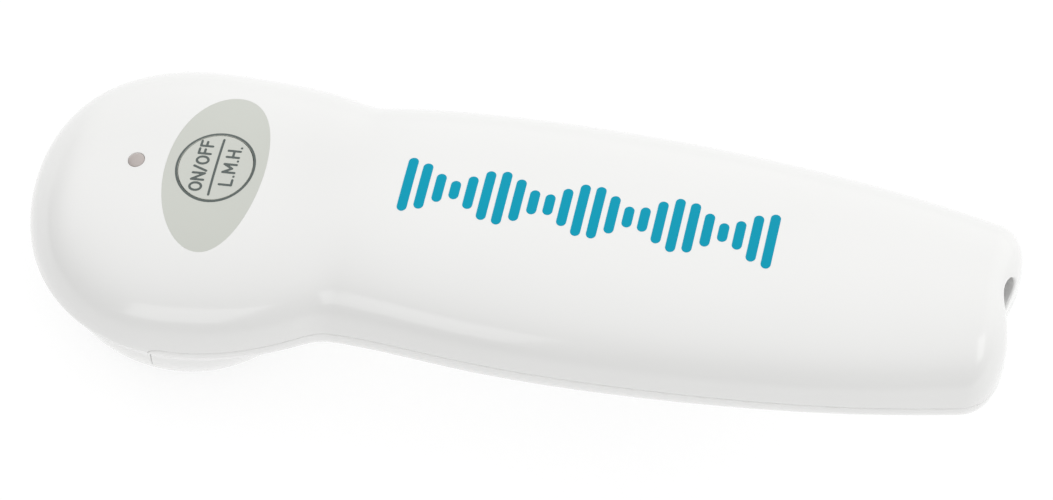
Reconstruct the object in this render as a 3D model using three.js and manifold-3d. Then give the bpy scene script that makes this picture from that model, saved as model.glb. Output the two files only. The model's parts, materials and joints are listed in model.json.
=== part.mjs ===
// Hand-held ultrasound therapy device, millimetres, +Z up.
// The treatment face lies at z = 0 with its axis on Z, and the handle runs to +X.
import * as THREE from "three";
import { mergeVertices } from "three/addons/utils/BufferGeometryUtils.js";
import Module from "manifold-3d";

const wasm = await Module();
wasm.setup();

// ---- driving dimensions -------------------------------------------------
const HEAD_CENTRE_Z = 25; // equator of the head above the treatment face
const NOSE_REACH = 32.6; // nose ahead of the treatment axis
const NECK_REACH = 50.5; // how far the head's outline runs back into the neck
const HEAD_HALF_WIDTH = 32.2;
const BOWL_RADIUS = 30; // underside of the head
const BOWL_DEPTH = 30;
const BOWL_POWER = 2.25;
const HANDLE_END = 166.8;
const END_ROUND = 8.5;
const END_POWER = 3;
const SCOOP_DEPTH = 2.6; // hollow in the middle of the end face
const SCOOP_WIDTH = 7;
const RIM_Z = 2.9; // lower edge of the shells round the treatment head
const RIM_THICKNESS = 3.4;
const WALL = 2.2;
const GAP = 0.3; // clearance between neighbouring pieces

const SEAM_X = -1; // where the parting line turns down to the rim
const SEAM_CORNER = 2.5;

const KEY_X = 4.8;
const KEY_TILT = 13.4; // degrees, slope of the crown at the key
const KEY_RADIUS = 7.4;
const KEY_FLANGE_RADIUS = 9;
const OVERLAY_HALF_WIDTH = 18.5; // across the head
const OVERLAY_HALF_LENGTH = 10.4; // along the head
const OVERLAY_THICKNESS = 0.5;
const LAMP_OFFSET = -16.78; // from the key, along the crown
const LAMP_RADIUS = 1.5;

const FACE_RADIUS = 21.4;
const CUP_RADIUS = 18.4;
const CUP_BORE = 16.4;
const FACE_THICKNESS = 3.2;
const FLANGE_THICKNESS = 2.6;
const CUP_HEIGHT = 13;

const BOARD_X = 96;
const BOARD_Z = 43.2;
const BOARD_TILT = 6.5; // degrees, the handle's rise
const BOARD_HALF_WIDTH = 13.5;
const BOARD_HALF_THICKNESS = 0.8;

const JACK_X = 159;
const JACK_Z = 61.3;
const JACK_HOLE_RADIUS = 4.9;

// Loft sections along the body, close together on the nose, the neck and the end.
const STATIONS = [
  -32.3, -31, -28.5, -25, -20, -14, -7, 0, 7, 13, 18, 22, 25.5, 28.5, 31.5, 34.5, 38, 45, 56, 70, 86,
  102, 118, 134, 148, 158.3, 161, 163.2, 164.8, 166, 166.6,
];
const SPOKES = 26; // points round each section

// ---- curves that shape the body ----------------------------------------
// Natural cubic spline through (xs, ys), with straight ends.
function spline(xs, ys) {
  const n = xs.length;
  const bend = new Array(n).fill(0);
  const work = new Array(n).fill(0);
  for (let i = 1; i < n - 1; i++) {
    const part = (xs[i] - xs[i - 1]) / (xs[i + 1] - xs[i - 1]);
    const pivot = part * bend[i - 1] + 2;
    const before = (ys[i] - ys[i - 1]) / (xs[i] - xs[i - 1]);
    const after = (ys[i + 1] - ys[i]) / (xs[i + 1] - xs[i]);
    bend[i] = (part - 1) / pivot;
    work[i] = ((6 * (after - before)) / (xs[i + 1] - xs[i - 1]) - part * work[i - 1]) / pivot;
  }
  for (let i = n - 2; i >= 0; i--) bend[i] = bend[i] * bend[i + 1] + work[i];
  bend[0] = 0;
  return (x) => {
    const at = Math.min(Math.max(x, xs[0]), xs[n - 1]);
    let i = 0;
    while (i < n - 2 && at > xs[i + 1]) i++;
    const h = xs[i + 1] - xs[i];
    const a = (xs[i + 1] - at) / h;
    const b = (at - xs[i]) / h;
    const cubic = (a ** 3 - a) * bend[i] + (b ** 3 - b) * bend[i + 1];
    return a * ys[i] + b * ys[i + 1] + (cubic * h * h) / 6;
  };
}

const handleHalfWidth = spline(
  [-5, 34, 60, 90, 120, 145, 168],
  [23.5, 25.7, 27.8, 28.1, 26.3, 23, 18.2],
);
const partingHeight = spline([-33, -10, 10, 35, 60, 100, 168], [0, 0.6, 3, 11.8, 16, 20.8, 28]);
const crownHeight = spline(
  [-11.5, 4.8, 20, 34, 60, 100, 140, 168],
  [18.7, 22.7, 26.2, 30.2, 34.4, 39, 42.4, 44.7],
);
const handleDepth = spline([-5, 34, 60, 100, 140, 168], [13, 14.5, 15.5, 15, 12.5, 11.5]);

function clamp(value, low, high) {
  return Math.min(Math.max(value, low), high);
}

// Larger of two lengths, with the crease between them rounded over a width.
function blendMax(a, b, width) {
  const h = clamp(0.5 + (0.5 * (a - b)) / width, 0, 1);
  return b + (a - b) * h + width * h * (1 - h);
}

function oval(t, power) {
  return clamp(1 - Math.abs(t) ** power, 0, 1) ** (1 / power);
}

function partingZ(x) {
  return HEAD_CENTRE_Z + partingHeight(x);
}

function crownZ(x) {
  if (x >= -11.5) return HEAD_CENTRE_Z + crownHeight(x);
  const along = clamp((x + NOSE_REACH) / (NOSE_REACH - 11.5), 0, 1);
  return HEAD_CENTRE_Z + 18.7 * oval(1 - along, 2.15);
}

function halfWidth(x) {
  const head = HEAD_HALF_WIDTH * oval(x / (x < 0 ? NOSE_REACH : NECK_REACH), 2.1);
  return x < 5 ? head : blendMax(head, handleHalfWidth(x), 1.6);
}

// Distance from the section's centre to the head's bowl along a spoke.
function bowlReach(x, c, s, z, inset) {
  let low = 0;
  let high = 60;
  for (let i = 0; i < 30; i++) {
    const mid = (low + high) / 2;
    const across = Math.hypot(x, mid * c) / (BOWL_RADIUS - inset);
    const down = Math.abs(z + mid * s) / (BOWL_DEPTH - inset);
    if (across ** BOWL_POWER + down ** BOWL_POWER < 1) low = mid;
    else high = mid;
  }
  return low;
}

function ovalReach(c, s, width, height, power) {
  return ((Math.abs(c) / width) ** power + (Math.abs(s) / height) ** power) ** (-1 / power);
}

// Point of the body's skin, moved inwards by inset.
function skinPoint(x, angle, inset) {
  const c = Math.cos(angle);
  const s = Math.sin(angle);
  const end = HANDLE_END - inset;
  const tight = oval(clamp((x - (end - END_ROUND)) / END_ROUND, 0, 1), END_POWER);
  const noseShrink = oval(clamp(-x / (NOSE_REACH - inset), 0, 1), 2.1);
  const outerNose = oval(clamp(-x / NOSE_REACH, 0, 1), 2.1);
  const nose = x < 0 && inset > 0 ? noseShrink / Math.max(outerNose, 0.001) : 1;
  const middle = partingZ(x);
  const width = Math.max((halfWidth(x) - inset) * nose, 0.001);
  const above = Math.max((crownZ(x) - middle - inset) * nose, 0.001);
  const taper = oval(clamp((20 - x) / (20 + NOSE_REACH - inset), 0, 1), 2.2);
  const below = Math.max((handleDepth(x) - inset) * taper, 0.001);
  let reach = ovalReach(c, s, width, above, 2.2);
  if (s < 0) {
    const bowl = bowlReach(x, c, s, middle - HEAD_CENTRE_Z, inset);
    reach = blendMax(bowl, ovalReach(c, s, width, below, 2.2), 3 * clamp(-3 * s, 0.01, 1));
  }
  reach *= tight;
  const y = reach * c;
  const hollow = Math.exp(-((y / SCOOP_WIDTH) ** 2)) * clamp((x - end + 14) / 14, 0, 1) ** 2;
  return new THREE.Vector3(x - SCOOP_DEPTH * hollow, y, middle + reach * s);
}

// Closed body skin, inset by a distance: a loft of sections with a pole at each end.
function bodyGeometry(inset) {
  const start = -(NOSE_REACH - inset);
  const length = HANDLE_END - inset - start;
  const shrink = length / (HANDLE_END + NOSE_REACH);
  const points = [];
  for (const station of STATIONS) {
    const x = start + (station + NOSE_REACH) * shrink;
    for (let j = 0; j < SPOKES; j++) points.push(skinPoint(x, (2 * Math.PI * j) / SPOKES, inset));
  }
  const firstPole = points.push(new THREE.Vector3(start, 0, partingZ(start))) - 1;
  const lastPole = points.push(skinPoint(start + length, 0, inset)) - 1;
  const faces = [];
  for (let j = 0; j < SPOKES; j++) {
    const next = (j + 1) % SPOKES;
    faces.push(firstPole, next, j);
    for (let i = 0; i < STATIONS.length - 1; i++) {
      const a = i * SPOKES + j;
      const b = i * SPOKES + next;
      faces.push(a, b, b + SPOKES, a, b + SPOKES, a + SPOKES);
    }
    const last = (STATIONS.length - 1) * SPOKES;
    faces.push(lastPole, last + j, last + next);
  }
  return new THREE.BufferGeometry().setFromPoints(points).setIndex(faces);
}

// ---- solids -------------------------------------------------------------
function toSolid(geometry) {
  const bare = geometry.clone();
  bare.deleteAttribute("normal");
  bare.deleteAttribute("uv");
  const welded = mergeVertices(bare, 1e-4);
  return new wasm.Manifold(
    new wasm.Mesh({
      numProp: 3,
      vertProperties: welded.attributes.position.array,
      triVerts: new Uint32Array(welded.index.array),
    }),
  );
}

function toGeometry(solid) {
  const mesh = solid.getMesh();
  return new THREE.BufferGeometry()
    .setAttribute("position", new THREE.BufferAttribute(mesh.vertProperties, 3))
    .setIndex(new THREE.BufferAttribute(mesh.triVerts, 1));
}

// A frame tipped about Y so that its X axis climbs by tilt degrees.
function frameAt(x, y, z, tilt) {
  const turn = new THREE.Matrix4().makeRotationY(THREE.MathUtils.degToRad(-tilt));
  return turn.setPosition(x, y, z);
}

function rod(radius, x, y, z0, z1, sides = 20) {
  const geometry = new THREE.CylinderGeometry(radius, radius, z1 - z0, sides);
  return geometry.rotateX(Math.PI / 2).translate(x, y, (z0 + z1) / 2);
}

function block(x0, x1, y0, y1, z0, z1) {
  const geometry = new THREE.BoxGeometry(x1 - x0, y1 - y0, z1 - z0);
  return geometry.translate((x0 + x1) / 2, (y0 + y1) / 2, (z0 + z1) / 2);
}

// Profile of [radius, z] points turned about Z.
function turned(profile, sides = 40, x = 0, y = 0) {
  const points = profile.map(([r, z]) => new THREE.Vector2(r, z));
  return new THREE.LatheGeometry(points, sides).rotateX(Math.PI / 2).translate(x, y, 0);
}

// Ring of rectangular section about Z.
function ring(inner, outer, z0, z1, sides = 40, x = 0, y = 0) {
  const profile = [[inner, z0], [outer, z0], [outer, z1], [inner, z1], [inner, z0]];
  return turned(profile, sides, x, y);
}

function wire(radius, stops, steps = 12) {
  const section = new THREE.Shape().absarc(0, 0, radius, 0, 2 * Math.PI);
  const path = new THREE.CatmullRomCurve3(stops.map((stop) => new THREE.Vector3(...stop)));
  return new THREE.ExtrudeGeometry(section, { steps, extrudePath: path, curveSegments: 3 });
}

// Prism of an outline in XY between two heights.
function prism(outline, z0, z1, sides = 12) {
  const options = { depth: z1 - z0, bevelEnabled: false, curveSegments: sides };
  return new THREE.ExtrudeGeometry(outline, options).translate(0, 0, z0);
}

function ovalOutline(halfLength, halfWide) {
  return new THREE.Shape().absellipse(0, 0, halfLength, halfWide, 0, 2 * Math.PI);
}

function solidIn(frame, geometry) {
  return toSolid(geometry.clone().applyMatrix4(frame));
}

// Body inset by a distance and cut off flat at a floor.
function bodySolid(inset, floor = RIM_Z) {
  return toSolid(bodyGeometry(inset)).intersect(toSolid(block(-50, 200, -50, 50, floor, 90)));
}

const root = new THREE.Group();
const WORLD = new THREE.Matrix4();
const KEY = frameAt(KEY_X, 0, crownZ(KEY_X), KEY_TILT);
const BOARD = frameAt(BOARD_X, 0, BOARD_Z, BOARD_TILT);
const JACK = frameAt(JACK_X, 0, JACK_Z, BOARD_TILT);

function add(name, geometry, frame = WORLD) {
  const mesh = new THREE.Mesh(geometry.clone().applyMatrix4(frame));
  mesh.name = name;
  root.add(mesh);
}

// ---- shells -------------------------------------------------------------
const outerBody = bodySolid(0);
const innerBody = bodySolid(WALL, RIM_Z + RIM_THICKNESS);
const ribBody = bodySolid(WALL / 2 - 0.1);

// Everything under the parting line, with its edge pulled back by a clearance.
function underSeam(clearance) {
  const outline = new THREE.Shape();
  const left = SEAM_X + clearance;
  const cornerX = left + SEAM_CORNER;
  const shelf = partingZ(cornerX) - clearance;
  outline.moveTo(200, -20).lineTo(200, partingZ(168) - clearance);
  for (let x = 168; x > cornerX; x -= 8) outline.lineTo(x, partingZ(x) - clearance);
  outline.lineTo(cornerX, shelf);
  outline.quadraticCurveTo(left, shelf, left, shelf - SEAM_CORNER);
  outline.lineTo(left, -20);
  const geometry = prism(outline, -60, 60, 5);
  return toSolid(geometry.rotateX(Math.PI / 2));
}

const headOpening = toSolid(rod(CUP_RADIUS + 0.4, 0, 0, -1, 8, 40))
  .add(toSolid(rod(20.7, 0, 0, -1, 4.7, 40)));
const hollow = outerBody.subtract(innerBody).subtract(headOpening);

// Case screws, as [x, y] in the board's frame.
const CASE_SCREWS = { left: [-38.5, -17.6], right: [-38.5, 17.6], rear: [47.3, 0] };
const BOARD_SCREWS = { front: [-29, 0], rear: [30, 0] };
const PANEL_SCREWS = { left: [-12.5, -8.5], right: [-12.5, 8.5] };

let upper = hollow.subtract(underSeam(-GAP / 2));
let lower = hollow.intersect(underSeam(GAP / 2));
for (const [x, y] of Object.values(CASE_SCREWS)) {
  const pillar = solidIn(BOARD, rod(3.2, x, y, 1.4, 25)).intersect(ribBody);
  upper = upper.add(pillar.subtract(underSeam(-GAP / 2)));
  upper = upper.subtract(solidIn(BOARD, rod(1.5, x, y, 1, 7.2)));
  const boss = solidIn(BOARD, rod(4.4, x, y, -20, -5.5))
    .add(solidIn(BOARD, rod(3.2, x, y, -6, 1)));
  lower = lower.add(boss.intersect(ribBody).intersect(underSeam(GAP / 2)));
  lower = lower.subtract(solidIn(BOARD, rod(1.6, x, y, -20, 2)));
  lower = lower.subtract(solidIn(BOARD, rod(2.9, x, y, -25, -7)));
}
for (const [x, y] of Object.values(BOARD_SCREWS)) {
  const post = solidIn(BOARD, rod(2.6, x, y, -20, -BOARD_HALF_THICKNESS - GAP));
  lower = lower.add(post.intersect(ribBody));
  lower = lower.subtract(solidIn(BOARD, rod(1.1, x, y, -7.5, 0)));
}
for (const [x, y] of Object.values(PANEL_SCREWS)) {
  const post = solidIn(KEY, rod(2.2, x, y, -10.8, 5));
  upper = upper.add(post.intersect(ribBody));
  upper = upper.subtract(solidIn(KEY, rod(0.9, x, y, -11, -6)));
}

// Recess for the overlay, holes for the key and the lamp, opening for the jack.
const overlayFloor = bodySolid(OVERLAY_THICKNESS + GAP);
const overlayPocket = solidIn(
  KEY,
  prism(ovalOutline(OVERLAY_HALF_LENGTH + GAP, OVERLAY_HALF_WIDTH + GAP), -8, 6),
);
upper = upper.subtract(overlayPocket.subtract(overlayFloor));
upper = upper.subtract(solidIn(KEY, rod(KEY_RADIUS + GAP, 0, 0, -8, 6, 36)));
upper = upper.subtract(solidIn(KEY, rod(LAMP_RADIUS + 0.4, LAMP_OFFSET, 0, -8, 6, 20)));
const jackBore = rod(JACK_HOLE_RADIUS, 0, 0, 1, 12, 28).rotateY(Math.PI / 2);
upper = upper.subtract(solidIn(JACK, jackBore));

const labelPocket = solidIn(BOARD, block(-22.3, 12.3, -12.3, 12.3, -20, -8));
const labelFloor = bodySolid(0.7);
lower = lower.subtract(labelPocket.subtract(labelFloor));

add("upper_shell", toGeometry(upper));
add("lower_shell", toGeometry(lower));

const labelBack = bodySolid(0.4);
const labelBlock = solidIn(BOARD, block(-22, 12, -12, 12, -20, -8));
add("rating_label", toGeometry(outerBody.subtract(labelBack).intersect(labelBlock)));

// ---- key, lamp and switch board -----------------------------------------
const overlayBack = bodySolid(OVERLAY_THICKNESS);
const overlayBlank = solidIn(
  KEY,
  prism(ovalOutline(OVERLAY_HALF_LENGTH, OVERLAY_HALF_WIDTH), -8, 6),
);
const overlay = overlayBlank
  .intersect(outerBody)
  .subtract(overlayBack)
  .subtract(solidIn(KEY, rod(KEY_RADIUS + GAP, 0, 0, -8, 6, 36)));
add("key_overlay", toGeometry(overlay));

const key = solidIn(KEY, rod(KEY_RADIUS, 0, 0, -4.4, 5, 36))
  .intersect(outerBody)
  .add(solidIn(KEY, rod(KEY_FLANGE_RADIUS, 0, 0, -4.4, -3.4, 36)))
  .add(solidIn(KEY, rod(2, 0, 0, -6.2, -4, 20)));
add("power_key", toGeometry(key));

add("switch_plunger", rod(1.6, 0, 0, -8.6, -6.5, 16), KEY);
const switchBody = toSolid(block(-3, 3, -3, 3, -10.8, -7.3))
  .subtract(toSolid(rod(1.9, 0, 0, -9.4, -7, 16)));
add("tact_switch", toGeometry(switchBody), KEY);

const LAMP_LEADS = { near: -0.6, far: 0.6 };
let panel = toSolid(block(-23, 9, -11, 11, -12.6, -11.1));
for (const [x, y] of Object.values(PANEL_SCREWS)) {
  panel = panel.subtract(toSolid(rod(1, x, y, -13, -11, 16)));
}
for (const y of Object.values(LAMP_LEADS)) {
  panel = panel.subtract(toSolid(rod(0.5, LAMP_OFFSET, y, -13, -11, 8)));
}
add("switch_board", toGeometry(panel), KEY);

for (const [side, [x, y]] of Object.entries(PANEL_SCREWS)) {
  const profile = [[0, -14.1], [1.6, -14.1], [1.9, -13.8], [1.9, -12.9], [0.6, -12.9], [0.6, -7]];
  add("panel_screw_" + side, turned([...profile, [0, -6.7]], 14, x, y), KEY);
}

const lampProfile = [[0, -5.6], [1.9, -5.6], [1.9, -4.8], [LAMP_RADIUS, -4.8]];
for (let i = 0; i <= 5; i++) {
  const angle = (i * Math.PI) / 10;
  lampProfile.push([i === 5 ? 0 : LAMP_RADIUS * Math.cos(angle), LAMP_RADIUS * Math.sin(angle) - 2]);
}
add("status_lamp", turned(lampProfile, 20, LAMP_OFFSET, 0), KEY);
add("lamp_spacer", ring(1.3, 2.3, -10.8, -5.9, 20, LAMP_OFFSET, 0), KEY);
for (const [side, y] of Object.entries(LAMP_LEADS)) {
  add("lamp_lead_" + side, rod(0.25, LAMP_OFFSET, y, -13.4, -5.9, 8), KEY);
}

// ---- treatment head -------------------------------------------------------
const cupProfile = [
  [0, 0], [FACE_RADIUS - 0.8, 0], [FACE_RADIUS, 0.8], [FACE_RADIUS, FLANGE_THICKNESS],
  [CUP_RADIUS, FLANGE_THICKNESS], [CUP_RADIUS, CUP_HEIGHT], [CUP_BORE, CUP_HEIGHT],
  [CUP_BORE, FACE_THICKNESS], [0, FACE_THICKNESS],
];
add("treatment_head", turned(cupProfile, 48));
const sealProfile = [];
for (let i = 0; i <= 6; i++) {
  const angle = (i * Math.PI) / 3;
  sealProfile.push([19.6 + 0.72 * Math.cos(angle), 3.65 + 0.72 * Math.sin(angle)]);
}
add("head_seal", turned(sealProfile, 32));
add("head_nut", ring(CUP_RADIUS + 0.3, 20.2, 6.6, 9.2));
add("piezo_disc", rod(12.5, 0, 0, 3.5, 5.6, 36));
add("contact_ring", ring(9.4, 12, 5.9, 6.5, 36));
const backing = toSolid(rod(16.1, 0, 0, 6.8, 9, 36))
  .subtract(toSolid(rod(3, 0, 0, 6, 10, 20)))
  .subtract(toSolid(rod(1.3, 10.7, 0, 6, 10, 12)));
add("backing_cap", toGeometry(backing));

// ---- main board -----------------------------------------------------------
const BOARD_TOP = BOARD_HALF_THICKNESS + GAP;
let board = toSolid(block(-46, 40, -BOARD_HALF_WIDTH, BOARD_HALF_WIDTH, -0.8, 0.8));
for (const [x, y] of Object.values(BOARD_SCREWS)) {
  board = board.subtract(toSolid(rod(1.1, x, y, -2, 2, 16)));
}
add("main_board", toGeometry(board), BOARD);
for (const [side, [x, y]] of Object.entries(BOARD_SCREWS)) {
  const profile = [[0, -7], [0.8, -6.6], [0.8, BOARD_TOP], [2, BOARD_TOP], [2, 2], [1.5, 2.4], [0, 2.4]];
  add("board_screw_" + side, turned(profile, 14, x, y), BOARD);
}
add("transformer", ring(4, 8.8, BOARD_TOP, 7.6, 24, -14, -4), BOARD);
add("power_transistor", block(-20, -9, 5.9, 9.1, BOARD_TOP, 12), BOARD);
let heatSink = toSolid(block(-25, -4, 9.4, 11, BOARD_TOP, 12.6));
for (let x = -24; x <= -5; x += 4.5) {
  heatSink = heatSink.add(toSolid(block(x - 0.5, x + 0.5, 10.8, 13.3, BOARD_TOP, 12.6)));
}
add("heat_sink", toGeometry(heatSink), BOARD);
add("bulk_capacitor", rod(5, 14, -6.8, BOARD_TOP, 13, 24), BOARD);
add("filter_capacitor", rod(4, 14, 6, BOARD_TOP, 10, 20), BOARD);
add("controller_chip", block(21.5, 33.5, -9.5, -3, BOARD_TOP, 3.4), BOARD);
const canOutline = new THREE.Shape()
  .absarc(3.4, 0, 2.2, -Math.PI / 2, Math.PI / 2)
  .absarc(-3.4, 0, 2.2, Math.PI / 2, (3 * Math.PI) / 2);
add("crystal", prism(canOutline, BOARD_TOP, 4.6, 6).translate(24.5, 7.5, 0), BOARD);
add("output_connector", block(-44, -37, -9, -2, BOARD_TOP, 6.6), BOARD);
add("panel_connector", block(-44, -37, 2, 9, BOARD_TOP, 6.6), BOARD);

for (const [side, [x, y]] of Object.entries(CASE_SCREWS)) {
  const profile = [[0, -9.2], [2, -9.2], [2.5, -8.7], [2.5, -7.3], [1.2, -7.3], [1.2, 5.6], [0, 6.6]];
  const recess = toSolid(block(x - 1.3, x + 1.3, y - 0.35, y + 0.35, -10, -8.2))
    .add(toSolid(block(x - 0.35, x + 0.35, y - 1.3, y + 1.3, -10, -8.2)));
  const screw = toSolid(turned(profile, 20, x, y)).subtract(recess);
  add("case_screw_" + side, toGeometry(screw), BOARD);
}

// ---- DC jack: bore along the handle ---------------------------------------
const sleeve = ring(3.1, 4.6, -0.4, 2.2, 28).rotateY(Math.PI / 2);
const socket = toSolid(block(-9.6, 0, -4.6, 4.6, -4.7, 4.4))
  .add(toSolid(sleeve))
  .subtract(toSolid(rod(3.1, 0, 0, -7.6, 4, 28).rotateY(Math.PI / 2)));
add("dc_jack", toGeometry(socket), JACK);
add("jack_pin", rod(1, 0, 0, -7.3, 1.4, 14).rotateY(Math.PI / 2), JACK);

// ---- wiring ----------------------------------------------------------------
// A stop in the board's frame, as world coordinates.
function onBoard(x, y, z) {
  return new THREE.Vector3(x, y, z).applyMatrix4(BOARD).toArray();
}

function onPanel(x, y, z) {
  return new THREE.Vector3(x, y, z).applyMatrix4(KEY).toArray();
}

function onJack(x, y, z) {
  return new THREE.Vector3(x, y, z).applyMatrix4(JACK).toArray();
}

add("transducer_lead_live", wire(0.7, [
  [10.7, 0, 6.9], [10.7, 0, 12], [16, -3, 21], [32, -7, 32], onBoard(-50, -4, 5), onBoard(-44.4, -4, 4),
]));
add("transducer_lead_ground", wire(0.7, [
  [14, -9.9, 13.5], [16, -10, 18], [24, -10, 25], [36, -10, 33],
  onBoard(-50, -7.5, 5), onBoard(-44.4, -7.2, 4),
]));
add("panel_cable", wire(1.3, [
  onPanel(9.4, 3, -11.8), onPanel(14, 3, -12.4), onPanel(22, 5, -14), onBoard(-52, 6, 5), onBoard(-44.4, 5.5, 4),
]));
for (const [side, y] of Object.entries({ positive: -3, negative: 3 })) {
  add("jack_lead_" + side, wire(0.7, [
    onBoard(36, 2.4 * y, 1.9), onBoard(39, 2.4 * y, 4.5), onBoard(46, 2.2 * y, 8),
    onJack(-13.5, y, 0.6), onJack(-9.9, y, 0.6),
  ]));
}

export default root;
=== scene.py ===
"""Looks of a hand-held ultrasound therapy device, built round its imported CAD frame.

Shapes are worked out in millimetres in the part's own frame and made in metres. The
treatment face lies at z = 0 with its axis on Z, and the handle runs to +X.
"""

import itertools
import json
import math

import bpy
import numpy as np
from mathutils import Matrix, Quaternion, Vector


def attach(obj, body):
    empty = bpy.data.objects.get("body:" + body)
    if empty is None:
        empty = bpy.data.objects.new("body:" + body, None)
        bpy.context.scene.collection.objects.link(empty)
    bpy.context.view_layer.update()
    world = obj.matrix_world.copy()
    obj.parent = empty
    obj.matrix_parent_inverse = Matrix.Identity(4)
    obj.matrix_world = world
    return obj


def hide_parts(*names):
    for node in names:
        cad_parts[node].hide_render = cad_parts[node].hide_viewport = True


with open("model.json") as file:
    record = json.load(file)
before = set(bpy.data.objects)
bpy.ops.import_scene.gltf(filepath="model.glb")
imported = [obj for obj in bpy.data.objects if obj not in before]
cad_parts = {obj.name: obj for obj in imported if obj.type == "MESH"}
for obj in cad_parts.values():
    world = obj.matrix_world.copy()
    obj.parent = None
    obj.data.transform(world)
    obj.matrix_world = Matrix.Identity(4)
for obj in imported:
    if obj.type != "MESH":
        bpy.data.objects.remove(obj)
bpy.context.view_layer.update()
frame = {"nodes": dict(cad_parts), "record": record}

MM = 0.001

# ---- driving dimensions, shared with the CAD part (mm) ----------------------
HEAD_CENTRE_Z = 25.0
NOSE_REACH = 32.6
NOSE_HEIGHT = 20.2
NOSE_POWER = 2.4
CROWN_SLOPE = 0.2554  # slope of the crown where it runs into the nose
CROWN_BLEND = 0.78  # width over which the crown line rounds into the nose
NECK_REACH = 50.5
NECK_START = 5.0
NECK_BLEND = 1.6
HEAD_HALF_WIDTH = 32.2
HEAD_POWER = 2.1
SECTION_POWER = 2.2
TAPER_START = 20.0
BOWL_RADIUS = 30.0
BOWL_DEPTH = 30.0
BOWL_POWER = 2.25
BOWL_BLEND = 3.0
HANDLE_END = 166.8
END_ROUND = 8.5
END_POWER = 3.0
SCOOP_DEPTH = 2.6
SCOOP_WIDTH = 7.0
SCOOP_LENGTH = 14.0
RIM_Z = 2.9
WALL = 2.2
SEAM_X = -1.0
SEAM_CORNER = 2.5
KEY_X = 4.8
KEY_TILT = 13.4
KEY_RADIUS = 7.66
KEY_HOLE_RADIUS = 7.78
OVERLAY_HALF_WIDTH = 18.5
OVERLAY_HALF_LENGTH = 10.4
OVERLAY_THICKNESS = 0.5
POCKET_DEPTH = 0.8
LAMP_OFFSET = -16.78
LAMP_RADIUS = 1.7
LAMP_HOLE_RADIUS = 1.73
BOARD_X = 96.0
BOARD_Z = 43.2
BOARD_TILT = 6.5
JACK_X = 159.0
JACK_Z = 61.3
JACK_HOLE_RADIUS = 4.9
CASE_SCREWS = {"left": (-38.5, -17.6), "right": (-38.5, 17.6), "rear": (47.3, 0.0)}
COUNTERBORE_RADIUS = 2.9
COUNTERBORE_Z = -7.0
LABEL_SIZE = (-22.0, 12.0, -12.0, 12.0)  # x0, x1, y0, y1 in the board's frame
LABEL_CORNER = 2.0
LABEL_MARGIN = 0.12
LABEL_POCKET_DEPTH = 0.6
RIM_INNER_RADIUS = 20.9
SEAL_RECESS_RADIUS = 20.7
SEAL_RECESS_Z = 4.7
HEAD_OPENING_RADIUS = 18.8
SEAL_RADIUS = 19.6
SEAL_Z = 3.65
SEAL_CORD_RADIUS = 0.72

# ---- finish of the shown pieces (mm) ----------------------------------------
SKIN_CELL = 0.9
LINING_CELL = 2.0
SEAM_GAP = 0.04
SEAM_EDGE = {"upper": 0.4, "lower": 0.3}  # radius of each half's edge along the seam
EDGE_STEPS = (1.0, 0.7, 0.45, 0.25, 0.1, 0.0)  # lines across a rounded edge, as shares of it
SNAP = 0.004  # a corner this close to a cut line moves onto it
TOUCH = 0.02  # a corner this far past a cut line still belongs to its rounded edge
ON_LINE = 0.03  # corners this close to a cut line bound its wall
POLE = 1e-6  # distance of the first and last section from the body's tips
SAMPLES = 3000  # samples along a line before it is divided into cells
FAR = 99.0  # distance given to the points that a field leaves alone
LABEL_SUNK = 0.1
PRINT_HEIGHT = 0.025


class Spline:
    """Natural cubic spline through points, level past its ends."""

    def __init__(self, xs, ys):
        self.xs = np.array(xs, float)
        self.ys = np.array(ys, float)
        count = len(xs)
        step = np.diff(self.xs)
        rise = np.diff(self.ys) / step
        matrix = np.eye(count)
        right = np.zeros(count)
        for i in range(1, count - 1):
            matrix[i, i - 1 : i + 2] = step[i - 1], 2 * (step[i - 1] + step[i]), step[i]
            right[i] = 6 * (rise[i] - rise[i - 1])
        self.bend = np.linalg.solve(matrix, right)

    def __call__(self, x):
        x = np.clip(x, self.xs[0], self.xs[-1])
        i = np.clip(np.searchsorted(self.xs, x) - 1, 0, len(self.xs) - 2)
        step = self.xs[i + 1] - self.xs[i]
        a = (self.xs[i + 1] - x) / step
        b = 1 - a
        cubic = (a**3 - a) * self.bend[i] + (b**3 - b) * self.bend[i + 1]
        return a * self.ys[i] + b * self.ys[i + 1] + cubic * step**2 / 6


handle_half_width = Spline(
    [-5, 34, 60, 90, 120, 145, 168],
    [23.5, 25.7, 27.8, 28.1, 26.3, 23, 18.2],
)
parting_height = Spline([-33, -10, 10, 35, 60, 100, 168], [0, 0.6, 3, 11.8, 16, 20.8, 28])
crown_height = Spline(
    [-11.5, 4.8, 20, 34, 60, 100, 140, 168],
    [18.7, 22.7, 26.2, 30.2, 34.4, 39, 42.4, 44.7],
)
handle_depth = Spline([-5, 34, 60, 100, 140, 168], [13, 14.5, 15.5, 15, 12.5, 11.5])


def blend_max(a, b, width):
    """Larger of two lengths, with the crease between them rounded over a width."""
    h = np.clip(0.5 + 0.5 * (a - b) / width, 0, 1)
    return b + (a - b) * h + width * h * (1 - h)


def oval(t, power):
    return np.clip(1 - np.abs(t) ** power, 0, 1) ** (1 / power)


def parting_z(x):
    return HEAD_CENTRE_Z + parting_height(x)


def crown_z(x):
    """Crown line: it runs straight on ahead of its spline and rounds over into the nose."""
    start = crown_height.xs[0]
    line = crown_height(x) + CROWN_SLOPE * np.minimum(x - start, 0)
    nose = NOSE_HEIGHT * oval(np.clip(x / NOSE_REACH, -1, 0), NOSE_POWER)
    rounded_over = -blend_max(-nose, -line, CROWN_BLEND)
    return HEAD_CENTRE_Z + np.where(x < start, rounded_over, line)


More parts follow.
